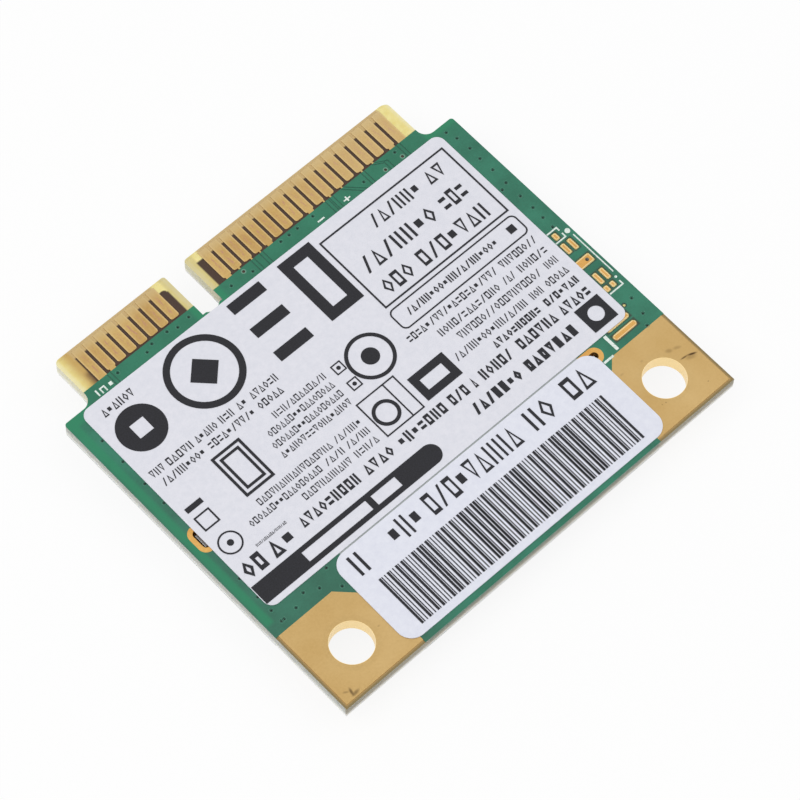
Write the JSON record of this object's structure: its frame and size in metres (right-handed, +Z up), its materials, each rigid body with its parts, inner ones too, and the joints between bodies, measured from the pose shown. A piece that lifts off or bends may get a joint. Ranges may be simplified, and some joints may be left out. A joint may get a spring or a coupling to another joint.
{
  "type": "wireless mini card",
  "caption": "Half-length wireless card with a keyed gold contact tongue, plated screw corners, printed labels and a shielded parts side with coax sockets.",
  "frame": {"origin": "centre of the bounding box's underside, the shield lid's outer face at Z = 0", "axes": "+X along the card's width with the short contact row at -X, +Y towards the contact tongue, +Z up out of the label side"},
  "size_m": [0.03, 0.0268, 0.0027],
  "materials": {
    "laminate": "bare glass-epoxy, slightly translucent",
    "solder_mask": "green lacquer, semi-gloss",
    "gold_plating": "flat gold plating over nickel and copper",
    "via_ring": "lacquered ring",
    "white_ink": "printed white ink",
    "label_film": "satin polyester film",
    "label_ink": "near-black thermal print",
    "shield_metal": "tin-plated sheet",
    "chip_epoxy": "moulded epoxy",
    "tin": "tin finish",
    "dark_ceramic": "ceramic or ferrite",
    "pale_ceramic": "white ceramic",
    "tan_ceramic": "tan ceramic",
    "socket_plastic": "moulded insulator",
    "socket_gold": "gold-plated socket metal"
  },
  "bodies": {
    "root": {"laminate": "laminate", "mask_label_side": "solder_mask", "mask_parts_side": "solder_mask", "contacts_label_side": "gold_plating", "contacts_parts_side": "gold_plating", "ground_pads_label_side": "gold_plating", "ground_pads_parts_side": "gold_plating", "hole_plating": "gold_plating", "slot_plating": "gold_plating", "probe_pads": "gold_plating", "long_pads": "gold_plating", "ring_vias": "via_ring", "silk_label_side": "white_ink", "silk_parts_side": "white_ink", "main_label": "label_film", "label_frames": "label_ink", "label_marks": "label_ink", "label_rows": "label_ink", "label_bar": "label_ink", "code_label": "label_film", "code_marks": "label_ink", "code_bars": "label_ink", "shield_track": "gold_plating", "shield_frame": "shield_metal", "shield_lid": "shield_metal", "radio_chip": "chip_epoxy", "bluetooth_chip": "chip_epoxy", "flash_chip": "chip_epoxy", "flash_leads": "tin", "crystal_bases": "dark_ceramic", "crystal_lids": "tin", "coils": "dark_ceramic", "filters": "pale_ceramic", "capacitors": "tan_ceramic", "capacitor_ends": "tin", "resistors": "chip_epoxy", "resistor_ends": "tin", "socket_bases": "socket_plastic", "socket_rings": "socket_gold", "socket_pins": "socket_gold", "socket_pads": "gold_plating", "test_pads": "gold_plating"}
  },
  "joints": []
}
